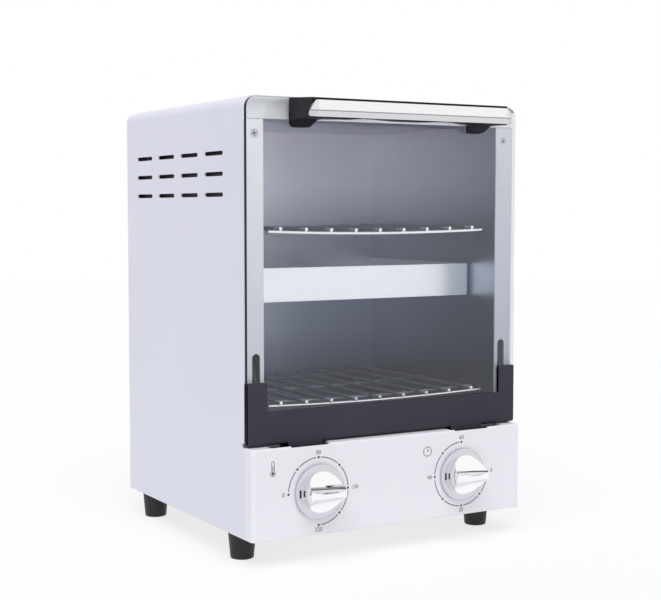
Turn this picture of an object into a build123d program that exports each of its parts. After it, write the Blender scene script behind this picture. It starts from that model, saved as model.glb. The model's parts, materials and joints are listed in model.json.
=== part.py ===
"""Dry heat sterilizer: a small bench oven with a drop-down glass door.

Millimetres. +Z is up, the door and the two knobs face -Y, and +X is the viewer's right.
The origin is the middle of the whole object's box, on the surface that its feet stand on.
"""

import os
from math import cos, radians, sin, sqrt

from build123d import *

os.makedirs("parts", exist_ok=True)

# --- Casing -----------------------------------------------------------------------------------
body_width = 256.0
body_height = 340.0
body_depth = 243.5  # front face of the control panel to the rear edge of the casing
foot_height = 22.0
sheet = 1.2  # wall of the folded casing parts
bend_radius = 9.0
rear_flange = 12.0
base_flange = 12.0
top_flange = 17.5  # front strip above the door opening

vent_length = 33.0
vent_height = 3.3
vent_columns = 4
vent_rows = 3
vent_pitch = 46.2
vent_row_pitch = 16.2
vent_from_front = 134.0  # middle of the vent field behind the panel's front face
vent_from_top = 58.6

# --- Control panel ----------------------------------------------------------------------------
panel_height = 71.5
panel_depth = 13.5  # the panel stands this far in front of the casing
panel_wall = 2.2
panel_corner = 3.5
panel_edge = 1.6
panel_rim = 1.4  # what is left of the ledge in front of the hinge notches
boss_radius = 4.0
boss_inset = 10.0
knuckle_dip = 1.1  # the ledge's front rim is this much lower before the knuckles
temperature_inset = 58.0  # knob's axis from the panel's left side
timer_inset = 61.0  # knob's axis from the panel's right side
dial_height = 34.3  # knob centres above the casing's bottom

# --- Door -------------------------------------------------------------------------------------
door_recess = 7.5  # the trim's front face behind the panel's front face
trim_skin = 1.2
glass_thickness = 4.0
door_top_gap = 1.0
door_corner = 8.5
glass_inset = 0.5
trim_bottom_gap = 1.2  # between the panel's ledge and the trim
trim_band = 26.1
trim_tab_width = 17.0
trim_tab_rise = 22.2
trim_edge = 2.0
knuckle_width = 31.3
knuckle_inset = 50.75  # middle of each knuckle from the door's side
knuckle_drop = 4.2
knuckle_gap = 3.9  # from the knuckle's inner end to the ledge
rail_depth = 6.0
rail_rise = 8.0
rail_lap = 5.0  # height of the thin part of the rail above its thick part
hinge_above_trim = 4.6
upright_top_gap = 3.0

pin_radius = 1.5
pin_grip = 6.0  # length of each pin's end in the rail
running_gap = 0.05
swing_gap = 0.4
lug_width = 5.0
lug_inset = 24.4  # middle of each hinge bracket from the casing's side
lug_radius = 2.6
lug_foot_height = 9.0
lug_foot_width = 13.2
lug_foot_sheet = 1.5
lug_foot_gap = 0.8  # from the bracket to the ledge
lug_shelf_reach = 0.5
spring_length = 6.0
bulkhead_setback = 5.5  # the bulkhead's front face behind the casing's front edge

# --- Handle -----------------------------------------------------------------------------------
handle_reach = 31.0  # from the panel's front face to the front of the bright bar
bar_thickness = 4.0
bar_height = 12.4
bar_top_gap = 2.0  # below the top of the grip
bar_top_length = 179.0
bar_bottom_length = 191.0
bar_front_length = 174.6  # between the slanting ends of the front face
bar_end_edge = 0.8
bar_facet = 4.6
bar_facet_depth = 1.4
grip_height = 20.6
grip_top_gap = 2.2  # below the top of the door's glass
grip_length = 182.0
grip_thickness = 12.0
foot_length = 15.0
grip_rise = 5.3  # height of the arch under the grip
arch_shoulder = 25.0  # length of the arch's curved ends
arch_inset = 10.0  # where the arch starts from the grip's end
lobe_depth = 4.0  # the feet reach down this far in front of the glass
lobe_slope = 9.0  # and rise over this depth to the grip's underside
grip_lip = 0.6  # of the grip below the bright bar
handle_screw_radius = 2.0
handle_head_radius = 4.5
handle_head = 1.6

# --- Door arms --------------------------------------------------------------------------------
arm_thickness = 2.0
arm_inset = 10.6
arm_outer = 64.0
arm_inner = 50.0
arm_start = 9.0
arm_end = 100.0
stem_low = 26.0
stem_high = 39.0
stop_reach = 14.0
stop_width = 4.7
slot_width = 7.0
slot_length = 43.0
slot_above_arm = 1.8

# --- Chamber ----------------------------------------------------------------------------------
chamber_inset = 16.0  # side walls from the casing's sides
chamber_floor = 83.0  # above the casing's bottom
chamber_top_inset = 15.0
chamber_back_inset = 33.5
liner_sheet = 1.0
strip_width = 16.1
strip_lift = 0.6  # above the chamber's floor
strip_gap = 0.3
strip_screw_inset = 9.6
strip_screw_drop = 11.2
flange_bottom = 150.0
flange_width = 10.0
screw_head_radius = 3.6
screw_radius = 1.8
screw_length = 9.0

# --- Racks ------------------------------------------------------------------------------------
rack_levels = {"upper": 236.6, "lower": 100.4}  # rod ends above the casing's bottom
rod_radius = 1.4
rack_dip = 2.0
rod_end_gap = 9.5
rest_end_gap = 3.0
wire_count = 9
wire_inset = 20.2  # outer wires from the chamber's side walls
wire_front = 20.6  # behind the panel's front face
rod_front = 22.2
rest_front = 46.0
rest_back_gap = 18.0
rest_count = 3
wire_back_gap = 10.0
weld = 0.3
rail_front = 38.0
rail_width = 11.0
rail_drop = 9.0
rack_gap = 0.3

# --- Heating ----------------------------------------------------------------------------------
shield_front = 50.0
shield_bottom = 179.5
shield_height = 27.4
shield_corner = 6.0
heater_radius = 3.25
heater_bend = 28.0
heater_tail = 12.0
middle_heater_inset = 52.0  # from the chamber's side walls
middle_heater_front = 76.0
lower_heater_inset = 32.0
lower_heater_front = 30.0
lower_heater_height = 75.0
bush_radius = 6.5
bush_flange = 9.0
bush_flange_thickness = 3.0
deck_height = 64.0
deck_inset = 18.0
deck_back_inset = 39.5
standoff_radius = 4.0
rest_size = 8.0
insulation_thickness = 19.0
top_insulation_gap = 0.6

# --- Controls ---------------------------------------------------------------------------------
knob_radius = 21.5
knob_skirt = 3.0
knob_bevel = 0.8
knob_height = 21.5
knob_gap = 0.6  # between the knob and the panel
drum_foot_radius = 16.4
drum_radius = 15.7
drum_shoulder = 2.0
crown = 4.5  # how far the drum's front bulges
ridge_width = 3.8
ridge_edge = 0.5
scoop_radius = 19.0
scoop_sweep = 40.0  # the finger scoops bend round on this radius
scoop_lift = 1.0
shaft_radius = 3.0
shaft_hole_gap = 1.5
bush_outer = 5.0
bush_length = 8.0
nut_size = 7.0
nut_thickness = 2.5
thermostat_size = 38.0
thermostat_depth = 26.0
timer_radius = 21.0
timer_depth = 27.0
bell_radius = 17.0
bell_height = 11.0
bell_wall = 1.2
bulb_radius = 3.2
bulb_length = 70.0
capillary_radius = 0.9
capillary_bend = 24.0
bulb_offset = 12.0
bulb_bottom = 100.0
clip_sheet = 1.0
pointer_x = 18.1  # middle of the pointer from the knob's axis
pointer_width = 1.7
pointer_length = 6.0
pointer_depth = 0.6

# --- Feet, base and back ----------------------------------------------------------------------
foot_top_radius = 11.3
foot_bottom_radius = 9.3
foot_edge = 1.2
foot_inset = 13.4
foot_front = 44.3  # behind the panel's front face
foot_back_inset = 26.7
foot_recess_radius = 5.0
foot_recess = 12.0
foot_screw_radius = 2.0
foot_screw_head = 3.0
base_sheet = 1.5
base_vent_length = 40.0
base_vent_width = 4.0
back_margin = 5.0
back_screw_rows = 3
gland_length = 6.0
gland_radius = 9.0
gland_thread_radius = 6.5
gland_thread = 12.0
gland_bore = 3.75
gland_inset = 40.0
gland_height = 30.0
gland_lip_radius = 7.6
gland_lip = 4.0
terminal_length = 44.0
terminal_width = 16.0
terminal_height = 14.0

# --- Places worked out from the sizes ---------------------------------------------------------
overall_depth = handle_reach + body_depth + sheet + gland_length
panel_front = handle_reach - overall_depth / 2
casing_front = panel_front + panel_depth
casing_back = panel_front + body_depth
cover_back = casing_back + sheet
bottom = foot_height
top = bottom + body_height
ledge = bottom + panel_height
half_width = body_width / 2
inside_half = half_width - sheet
temperature_x = temperature_inset - half_width
timer_x = half_width - timer_inset
knuckle_middle = half_width - knuckle_inset
knuckle_inner = knuckle_middle - knuckle_width / 2
knuckle_outer = knuckle_middle + knuckle_width / 2
lug_middle = half_width - lug_inset
arm_middle = half_width - arm_inset
strip_screw_x = half_width - strip_screw_inset
gland_x = half_width - gland_inset

door_front = panel_front + door_recess
glass_front = door_front + trim_skin
glass_back = glass_front + glass_thickness
door_top = top - door_top_gap
trim_bottom = ledge + trim_bottom_gap
trim_top = trim_bottom + trim_band
tab_top = trim_top + trim_tab_rise
hinge_y = glass_front + rail_depth / 2
hinge_z = trim_bottom + hinge_above_trim
spring_outer = lug_middle - lug_width / 2
spring_inner = spring_outer - spring_length
pin_outer = lug_middle + lug_width / 2 + swing_gap + pin_grip
pin_inner = spring_inner - swing_gap - pin_grip
bulkhead_front = casing_front + bulkhead_setback
bulkhead_back = bulkhead_front + sheet
opening_top = top - top_flange
corner_notch = hinge_above_trim - (casing_front - hinge_y) + swing_gap

grip_top = door_top - grip_top_gap
grip_bottom = grip_top - grip_height
bar_front = panel_front - handle_reach
bar_back = bar_front + bar_thickness
bar_top = grip_top - bar_top_gap
bar_bottom = bar_top - bar_height
handle_screw_x = grip_length / 2 - foot_length / 2
handle_screw_z = (grip_top + grip_bottom) / 2

chamber_half = half_width - chamber_inset
chamber_width = 2 * chamber_half
liner_front = casing_front + sheet
liner_back = casing_back - chamber_back_inset
floor_z = bottom + chamber_floor
ceiling_z = top - chamber_top_inset
liner_bottom = floor_z - liner_sheet
liner_top = ceiling_z + liner_sheet
base_top = bottom + base_sheet
deck_top = bottom + deck_height + sheet
dial_z = bottom + dial_height
slot_top = hinge_z + arm_outer + slot_above_arm
strip_screw_z = opening_top - strip_screw_drop
knob_back = panel_front - knob_gap
lower_heater_z = bottom + lower_heater_height
middle_heater_z = bottom + shield_bottom + shield_height / 2
middle_heater_spread = chamber_half - middle_heater_inset
lower_heater_spread = chamber_half - lower_heater_inset
sides = (("left", -1), ("right", 1))


def facing(y):
    """Sketch plane across the object at depth y, drawn in X and Z; it extrudes to the front."""
    return Plane.XZ.offset(-y)


def beside(x):
    """Sketch plane along the object at x, drawn in Y and Z; it extrudes to the right."""
    return Plane.YZ.offset(x)


def span(a, b):
    """The two values in rising order."""
    return (a, b) if a < b else (b, a)


def block(x_span, y_span, z_span, mode=Mode.ADD):
    """A box between two values on each axis."""
    spans = (span(*x_span), span(*y_span), span(*z_span))
    with Locations(tuple((low + high) / 2 for low, high in spans)):
        Box(*(high - low for low, high in spans), mode=mode)


def bar_along_y(x, z, y_span, radius, mode=Mode.ADD):
    """A round bar or bore along Y."""
    low, high = span(*y_span)
    with Locations(Location((x, (low + high) / 2, z), (90, 0, 0))):
        Cylinder(radius, high - low, mode=mode)


def bar_along_x(x_span, y, z, radius, mode=Mode.ADD):
    """A round bar or bore along X."""
    low, high = span(*x_span)
    with Locations(Location(((low + high) / 2, y, z), (0, 90, 0))):
        Cylinder(radius, high - low, mode=mode)


def bar_along_z(x, y, z_span, radius, mode=Mode.ADD):
    """A round bar or bore along Z."""
    low, high = span(*z_span)
    with Locations((x, y, (low + high) / 2)):
        Cylinder(radius, high - low, mode=mode)


def save(builder, label):
    """Label one finished piece and write it."""
    builder.part.label = label
    export_step(builder.part, f"parts/{label}.step")


def arch(y, width, low, high, radius, depth, mode=Mode.ADD):
    """A plate with rounded top corners, from depth y towards the front."""
    with BuildSketch(facing(y)) as face:
        with Locations((0, (low + high) / 2)):
            Rectangle(width, high - low)
        fillet(face.vertices().group_by(Axis.Y)[-1], radius)
    extrude(face.sketch, amount=depth, mode=mode)


# --- Outer shell: one folded sheet over the top and both sides ----------------------------------
with BuildPart() as outer_shell:
    shell_length = casing_back - casing_front
    arch(casing_back, body_width, bottom, top, bend_radius, shell_length)
    arch(casing_back, 2 * inside_half, bottom, top - sheet, bend_radius - sheet, shell_length, Mode.SUBTRACT)
    arch(casing_front + sheet, body_width, opening_top, top, bend_radius, sheet)
    with BuildSketch(facing(casing_back)) as rear_ring:
        with Locations((0, bottom + (body_height - sheet / 2) / 2)):
            Rectangle(2 * inside_half + sheet, body_height - sheet / 2)
        fillet(rear_ring.vertices().group_by(Axis.Y)[-1], bend_radius - sheet / 2)
        with Locations((0, bottom + (body_height - rear_flange) / 2)):
            Rectangle(body_width - 2 * rear_flange, body_height - rear_flange, mode=Mode.SUBTRACT)
    extrude(amount=sheet)
    with BuildSketch(beside(-half_width)):
        with Locations((panel_front + vent_from_front, top - vent_from_top)):
            with GridLocations(vent_pitch, vent_row_pitch, vent_columns, vent_rows):
                SlotOverall(vent_length, vent_height)
    extrude(amount=body_width, mode=Mode.SUBTRACT)
    for side, sign in sides:
        bar_along_y(
            sign * handle_screw_x,
            handle_screw_z,
            (casing_front - sheet, casing_front + 2 * sheet),
            handle_head_radius + swing_gap * 2,
            Mode.SUBTRACT,
        )
        block(
            (sign * inside_half, sign * half_width),
            (casing_front, casing_front + corner_notch),
            (ledge, hinge_z - (hinge_y - glass_front) + swing_gap),
            Mode.SUBTRACT,
        )
save(outer_shell, "outer_shell")

# --- Base plate: folded up at both sides, inside the shell --------------------------------------
foot_places = [
    (sign * (half_width - foot_inset), y)
    for sign in (-1, 1)
    for y in (panel_front + foot_front, casing_back - foot_back_inset)
]
with BuildPart() as base_plate:
    base_span = (casing_front, casing_back - sheet)
    block((-inside_half, inside_half), base_span, (bottom, base_top))
    for side, sign in sides:
        block(
            (sign * (inside_half - base_sheet), sign * inside_half),
            base_span,
            (bottom, bottom + base_flange),
        )
    for x, y in foot_places:
        bar_along_z(x, y, (bottom, base_top), foot_screw_radius + running_gap * 2, Mode.SUBTRACT)
    with BuildSketch(Plane.XY.offset(bottom)):
        with Locations((0, (casing_front + casing_back) / 2)):
            with GridLocations(base_vent_length * 1.4, base_vent_width * 4, 3, 5):
                SlotOverall(base_vent_length, base_vent_width)
    extrude(amount=base_sheet, mode=Mode.SUBTRACT)
save(base_plate, "base_plate")

# --- Back cover: screwed on the shell's rear flange ---------------------------------------------
back_width = body_width - 2 * back_margin
back_low = bottom + back_margin
back_high = top - back_margin
back_screw_x = half_width - rear_flange / 2 - sheet / 2
back_screw_step = (back_high - back_low - 4 * rear_flange) / (back_screw_rows - 1)
back_screw_places = [
    (sign * back_screw_x, back_low + 2 * rear_flange + row * back_screw_step)
    for sign in (-1, 1)
    for row in range(back_screw_rows)
]
with BuildPart() as back_cover:
    with BuildSketch(facing(cover_back)) as back_face:
        with Locations((0, (back_low + back_high) / 2)):
            RectangleRounded(back_width, back_high - back_low, back_margin)
        with Locations((0, top - vent_from_top)):
            with GridLocations(vent_pitch, vent_row_pitch, vent_columns, vent_rows):
                SlotOverall(vent_length, vent_height, mode=Mode.SUBTRACT)
        with Locations((0, bottom + gland_height)):
            with GridLocations(vent_pitch, vent_row_pitch, 2, vent_rows):
                SlotOverall(vent_length, vent_height, mode=Mode.SUBTRACT)
        with Locations((gland_x, bottom + gland_height)):
            Circle(gland_thread_radius + running_gap, mode=Mode.SUBTRACT)
        with Locations(*back_screw_places):
            Circle(screw_radius + running_gap, mode=Mode.SUBTRACT)
    extrude(amount=sheet)
save(back_cover, "back_cover")

with BuildPart() as back_screws:
    for x, z in back_screw_places:
        with Locations(Location((x, cover_back, z), (-90, 0, 0))):
            Cylinder(screw_head_radius, sheet, align=(Align.CENTER, Align.CENTER, Align.MIN))
        bar_along_y(x, z, (casing_back, cover_back), screw_radius)
save(back_screws, "back_screws")

# --- Control panel: a shallow moulded box, open to the rear --------------------------------------
boss_places = [
    (sign * (half_width - boss_inset), bottom + height)
    for sign in (-1, 1)
    for height in (boss_inset, panel_height - 2 * boss_inset)
]
shaft_places = ((temperature_x, dial_z), (timer_x, dial_z))
with BuildPart() as control_panel:
    block((-half_width, half_width), (panel_front, casing_front), (bottom, ledge))
    front_edges = control_panel.faces().sort_by(Axis.Y)[0].edges()
    fillet(front_edges.filter_by(Axis.Z), panel_corner)
    top_edge = control_panel.faces().sort_by(Axis.Y)[0].edges().filter_by(Axis.X).sort_by(Axis.Z)[-1]
    fillet(top_edge, panel_edge)
    block(
        (-half_width + panel_wall, half_width - panel_wall),
        (panel_front + panel_wall, casing_front),
        (bottom + panel_wall, ledge - panel_wall),
        Mode.SUBTRACT,
    )
    notch_outer = lug_middle + lug_foot_width / 2 + lug_foot_gap
    for side, sign in sides:
        block(
            (sign * (knuckle_inner - knuckle_gap), sign * notch_outer),
            (panel_front + panel_rim, casing_front),
            (trim_bottom - knuckle_drop - 2 * trim_bottom_gap, ledge + panel_edge),
            Mode.SUBTRACT,
        )
        block(
            (sign * (knuckle_inner - trim_bottom_gap), sign * (knuckle_outer + trim_bottom_gap)),
            (panel_front, casing_front),
            (ledge - knuckle_dip, ledge + panel_edge),
            Mode.SUBTRACT,
        )
    for x, z in boss_places:
        bar_along_y(x, z, (panel_front + panel_wall, bulkhead_front), boss_radius)
        bar_along_y(x, z, (panel_front + 2 * panel_wall, bulkhead_front), screw_radius, Mode.SUBTRACT)
    for x, z in shaft_places:
        bar_along_y(x, z, (panel_front, casing_front), shaft_radius + shaft_hole_gap, Mode.SUBTRACT)
save(control_panel, "control_panel")

# --- Bulkhead behind the panel: carries the hinge lugs and the two controls ----------------------
bulkhead_top = liner_bottom
window_low = trim_bottom - knuckle_drop - 2 * trim_bottom_gap
window_high = hinge_z
with BuildPart() as bulkhead:
    block((-inside_half, inside_half), (bulkhead_front, bulkhead_back), (base_top, bulkhead_top))
    for side, sign in sides:
        block(
            (sign * (knuckle_inner - trim_edge), sign * (knuckle_outer + trim_edge)),
            (bulkhead_front, bulkhead_back),
            (window_low, window_high),
            Mode.SUBTRACT,
        )
        block(
            (sign * (inside_half - base_sheet), sign * inside_half),
            (bulkhead_front, bulkhead_back),
            (base_top, bottom + base_flange),
            Mode.SUBTRACT,
        )
    for x, z in shaft_places:
        bar_along_y(x, z, (bulkhead_front, bulkhead_back), bush_outer, Mode.SUBTRACT)
    for x, z in boss_places:
        bar_along_y(x, z, (bulkhead_front, bulkhead_back), screw_radius + running_gap, Mode.SUBTRACT)
save(bulkhead, "bulkhead")

with BuildPart() as panel_screws:
    for x, z in boss_places:
        with Locations(Location((x, bulkhead_back, z), (-90, 0, 0))):
            Cylinder(screw_head_radius, sheet, align=(Align.CENTER, Align.CENTER, Align.MIN))
        bar_along_y(x, z, (bulkhead_back - screw_length, bulkhead_back), screw_radius)
save(panel_screws, "panel_screws")

# --- Hinge lugs: brackets on the bulkhead, with tongues that reach forward to the hinge line ------
lug_foot_front = bulkhead_front - lug_foot_sheet
for side, sign in sides:
    with BuildPart() as hinge_lug:
        middle = sign * lug_middle
        lug_span = (middle - lug_width / 2, middle + lug_width / 2)
        foot_span = (middle - lug_foot_width / 2, middle + lug_foot_width / 2)
        foot_low = ledge - lug_foot_sheet
        block(foot_span, (lug_foot_front, bulkhead_front), (foot_low, hinge_z + lug_foot_height / 2))
        block(foot_span, (casing_front - lug_shelf_reach, bulkhead_front), (foot_low, ledge))
        block(lug_span, (hinge_y, lug_foot_front), (hinge_z - lug_radius, hinge_z + lug_radius))
        bar_along_x(lug_span, hinge_y, hinge_z, lug_radius)
        bar_along_x(lug_span, hinge_y, hinge_z, pin_radius + running_gap, Mode.SUBTRACT)
    save(hinge_lug, f"hinge_lug_{side}")

# --- Hinge springs: closed coils round the pins, drawn as plain sleeves ---------------------------
with BuildPart() as hinge_springs:
    for side, sign in sides:
        spring_span = (sign * spring_inner, sign * spring_outer)
        bar_along_x(spring_span, hinge_y, hinge_z, lug_radius)
        bar_along_x(spring_span, hinge_y, hinge_z, pin_radius + running_gap, Mode.SUBTRACT)
save(hinge_springs, "hinge_springs")

# --- Front strips beside the door opening, with the slots for the door arms ----------------------
strip_inner = inside_half - strip_width
strip_low = floor_z + strip_lift
strip_high = opening_top - strip_gap
for side, sign in sides:
    with BuildPart() as frame_strip:
        with BuildSketch(facing(liner_front)):
            with Locations((sign * (strip_inner + inside_half) / 2, (strip_low + strip_high) / 2)):
                Rectangle(strip_width, strip_high - strip_low)
            with Locations((sign * arm_middle, slot_top - slot_length / 2)):
                SlotOverall(slot_length, slot_width, rotation=90, mode=Mode.SUBTRACT)
        extrude(amount=sheet)
        with Locations(Location((sign * strip_screw_x, casing_front, strip_screw_z), (90, 0, 0))):
            CounterSinkHole(screw_radius + running_gap, screw_head_radius, depth=2 * sheet)
    save(frame_strip, f"frame_strip_{side}")

with BuildPart() as frame_screws:
    for side, sign in sides:
        with Locations(Location((sign * strip_screw_x, casing_front, strip_screw_z), (90, 0, 0))):
            Cone(
                screw_radius,
                screw_head_radius,
                screw_head_radius - screw_radius,
                align=(Align.CENTER, Align.CENTER, Align.MAX),
            )
        bar_along_y(sign * strip_screw_x, strip_screw_z, (casing_front, casing_front + screw_length), screw_radius)
save(frame_screws, "frame_screws")

# --- Chamber liner: a folded tube with flanges behind the front strips ---------------------------
with BuildPart() as chamber_liner:
    outer_half = chamber_half + liner_sheet
    block((-outer_half, outer_half), (liner_front, liner_back), (liner_bottom, liner_top))
    block((-chamber_half, chamber_half), (liner_front, liner_back), (floor_z, ceiling_z), Mode.SUBTRACT)
    for side, sign in sides:
        block(
            (sign * outer_half, sign * (outer_half + flange_width)),
            (liner_front, liner_front + liner_sheet),
            (bottom + flange_bottom, strip_high),
        )
        bar_along_y(
            sign * strip_screw_x,
            strip_screw_z,
            (liner_front, liner_front + liner_sheet),
            screw_head_radius,
            Mode.SUBTRACT,
        )
save(chamber_liner, "chamber_liner")

# --- Chamber back: closes the tube, with holes for the middle heater ------------------------------
with BuildPart() as chamber_back:
    back_sheet_span = (liner_back, liner_back + liner_sheet)
    block((-outer_half, outer_half), back_sheet_span, (liner_bottom, liner_top))
    for side, sign in sides:
        bar_along_y(sign * middle_heater_spread, middle_heater_z, back_sheet_span, bush_radius, Mode.SUBTRACT)
save(chamber_back, "chamber_back")

# --- Rack rails: four folded angles on the chamber's side walls -----------------------------------
rack_zs = {name: bottom + level for name, level in rack_levels.items()}
for level, rod_z in rack_zs.items():
    rail_top = rod_z - rod_radius - rack_gap
    for side, sign in sides:
        with BuildPart() as rack_rail:
            block(
                (sign * (chamber_half - rail_width), sign * chamber_half),
                (panel_front + rail_front, liner_back),
                (rail_top - liner_sheet, rail_top),
            )
            block(
                (sign * (chamber_half - liner_sheet), sign * chamber_half),
                (panel_front + rail_front, liner_back),
                (rail_top - rail_drop, rail_top),
            )
        save(rack_rail, f"{level}_rail_{side}")

# --- Racks: nine straight wires on cross rods that dip in the middle ------------------------------
rod_half_length = chamber_half - rod_end_gap
rest_half_length = chamber_half - rest_end_gap
wire_pitch = 2 * (chamber_half - wire_inset) / (wire_count - 1)
wire_length = liner_back - wire_back_gap - panel_front - wire_front
rest_first = panel_front + rest_front
rest_step = (liner_back - rest_back_gap - rest_first) / (rest_count - 1)
dip_radius = (rod_half_length**2 + rack_dip**2) / (2 * rack_dip)


def rod_height(x, rod_z):
    """Height of a dipping cross rod's middle line at x."""
    return rod_z - rack_dip + dip_radius - sqrt(dip_radius**2 - x**2)


def cross_rod(y, half_length, rod_z):
    """A round rod across the rack, bent to the rack's shallow arc."""
    end = rod_height(half_length, rod_z)
    with BuildLine():
        arc = ThreePointArc((-half_length, y, end), (0, y, rod_z - rack_dip), (half_length, y, end))
    with BuildSketch(Plane(arc @ 0, z_dir=arc % 0)) as section:
        Circle(rod_radius)
    sweep(section.sketch, path=arc)


for level, rod_z in rack_zs.items():
    wire_places = []
    for number in range(wire_count):
        wire_x = (number - (wire_count - 1) / 2) * wire_pitch
        wire_z = rod_height(wire_x, rod_z) + 2 * rod_radius - weld
        wire_places.append(Location((wire_x, panel_front + wire_front, wire_z), (-90, 0, 0)))
    with BuildPart() as rack:
        cross_rod(panel_front + rod_front, rod_half_length, rod_z)
        for rest in range(rest_count):
            cross_rod(rest_first + rest * rest_step, rest_half_length, rod_z)
        with Locations(wire_places):
            Cylinder(rod_radius, wire_length, align=(Align.CENTER, Align.CENTER, Align.MIN))
    save(rack, f"{level}_rack")

# --- Heater shield: a bent band round the middle heater -------------------------------------------
with BuildPart() as heater_shield:
    with BuildSketch(Plane.XY.offset(bottom + shield_bottom)) as shield_plan:
        with Locations((0, (panel_front + shield_front + liner_back) / 2)):
            Rectangle(chamber_width, liner_back - panel_front - shield_front)
        fillet(shield_plan.vertices().group_by(Axis.Y)[0], shield_corner)
    extrude(amount=shield_height)
    with BuildSketch(Plane.XY.offset(bottom + shield_bottom)) as shield_inside:
        with Locations((0, (panel_front + shield_front + liner_sheet + liner_back) / 2)):
            Rectangle(chamber_width - 2 * liner_sheet, liner_back - panel_front - shield_front - liner_sheet)
        fillet(shield_inside.vertices().group_by(Axis.Y)[0], shield_corner - liner_sheet)
    extrude(amount=shield_height, mode=Mode.SUBTRACT)
save(heater_shield, "heater_shield")


# --- Heaters: bent tubes, one inside the shield and one under the floor ---------------------------
def heater_loop(spread, front, z, back):
    """A U of heater tube lying level, open to the rear."""
    with BuildLine() as route:
        FilletPolyline(
            (-spread, back, z), (-spread, front, z), (spread, front, z), (spread, back, z), radius=heater_bend
        )
    with BuildSketch(Plane(route.line @ 0, z_dir=route.line % 0)) as section:
        Circle(heater_radius)
    sweep(section.sketch, path=route.line)


heater_back = liner_back + liner_sheet + heater_tail
with BuildPart() as middle_heater:
    heater_loop(middle_heater_spread, panel_front + middle_heater_front, middle_heater_z, heater_back)
save(middle_heater, "middle_heater")

with BuildPart() as lower_heater:
    heater_loop(lower_heater_spread, panel_front + lower_heater_front, lower_heater_z, heater_back)
save(lower_heater, "lower_heater")

with BuildPart() as heater_bushes:
    for side, sign in sides:
        x = sign * middle_heater_spread
        bar_along_y(x, middle_heater_z, back_sheet_span, bush_radius)
        flange_span = (liner_back + liner_sheet, liner_back + liner_sheet + bush_flange_thickness)
        bar_along_y(x, middle_heater_z, flange_span, bush_flange)
        bore_span = (liner_back, flange_span[1])
        bar_along_y(x, middle_heater_z, bore_span, heater_radius + running_gap, Mode.SUBTRACT)
save(heater_bushes, "heater_bushes")

# --- Deck over the control bay, with the pillars and rests that stand on it ------------------------
deck_half = half_width - deck_inset
deck_front = bulkhead_back
deck_rear = casing_back - deck_back_inset
with BuildPart() as deck:
    block((-deck_half, deck_half), (deck_front, deck_rear), (base_top, deck_top))
    block(
        (-deck_half + sheet, deck_half - sheet),
        (deck_front, deck_rear),
        (base_top, deck_top - sheet),
        Mode.SUBTRACT,
    )
save(deck, "deck")

rest_places = [
    (sign * lower_heater_spread, (deck_front + deck_rear) / 2 + step * (deck_rear - deck_front) / 4)
    for sign in (-1, 1)
    for step in (-1, 1)
]
with BuildPart() as chamber_pillars:
    for x, y in rest_places:
        pillar_x = x + (deck_half - lower_heater_spread) / 2 * (1 if x > 0 else -1)
        bar_along_z(pillar_x, y, (deck_top, liner_bottom), standoff_radius)
save(chamber_pillars, "chamber_pillars")

with BuildPart() as heater_rests:
    for x, y in rest_places:
        block(
            (x - rest_size / 2, x + rest_size / 2),
            (y - rest_size / 2, y + rest_size / 2),
            (deck_top, lower_heater_z),
        )
        bar_along_y(x, lower_heater_z, (y - rest_size, y + rest_size), heater_radius + running_gap, Mode.SUBTRACT)
save(heater_rests, "heater_rests")

# --- Insulation behind and above the chamber -------------------------------------------------------
with BuildPart() as insulation_back:
    block(
        (-half_width + rear_flange, half_width - rear_flange),
        (casing_back - insulation_thickness, casing_back),
        (deck_top, top - rear_flange),
    )
save(insulation_back, "insulation_back")

with BuildPart() as insulation_top:
    block(
        (-chamber_half, chamber_half),
        (liner_front + flange_width, liner_back),
        (liner_top, top - sheet - top_insulation_gap),
    )
save(insulation_top, "insulation_top")

# --- Thermostat with its sensing bulb on the back of the chamber -----------------------------------
bush_front = bulkhead_front - bush_length
with BuildPart() as thermostat:
    body_middle = bulkhead_back + thermostat_depth / 2
    with Locations((temperature_x, body_middle, dial_z)):
        Box(thermostat_size, thermostat_depth, thermostat_size)
    fillet(thermostat.edges().filter_by(Axis.Y), 3 * trim_edge / 2)
    bar_along_y(temperature_x, dial_z, (bush_front, bulkhead_back), bush_outer)
    bore_span = (bush_front, bulkhead_back + bush_length)
    bar_along_y(temperature_x, dial_z, bore_span, shaft_radius + running_gap, Mode.SUBTRACT)
save(thermostat, "thermostat")

bulb_x = temperature_x + bulb_offset
bulb_y = liner_back + liner_sheet + bulb_radius + clip_sheet
capillary_z = dial_z + thermostat_size / 4
capillary_start = bulkhead_back + thermostat_depth
with BuildPart() as thermostat_bulb:
    with BuildLine() as capillary_route:
        FilletPolyline(
            (bulb_x, capillary_start, capillary_z),
            (bulb_x, bulb_y, capillary_z),
            (bulb_x, bulb_y, bottom + bulb_bottom),
            radius=capillary_bend,
        )
    with BuildSketch(Plane(capillary_route.line @ 0, z_dir=capillary_route.line % 0)):
        Circle(capillary_radius)
    sweep(path=capillary_route.line)
    bar_along_z(bulb_x, bulb_y, (bottom + bulb_bottom, bottom + bulb_bottom + bulb_length), bulb_radius)
save(thermostat_bulb, "thermostat_bulb")

with BuildPart() as bulb_clips:
    for share in (0.2, 0.8):
        clip_z = bottom + bulb_bottom + share * bulb_length
        block(
            (bulb_x - 2 * bulb_radius, bulb_x + 2 * bulb_radius),
            (liner_back + liner_sheet, bulb_y + bulb_radius + clip_sheet),
            (clip_z - rest_size / 2, clip_z + rest_size / 2),
        )
        bar_along_z(
            bulb_x, bulb_y, (clip_z - rest_size, clip_z + rest_size), bulb_radius + running_gap, Mode.SUBTRACT
        )
save(bulb_clips, "bulb_clips")

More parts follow.
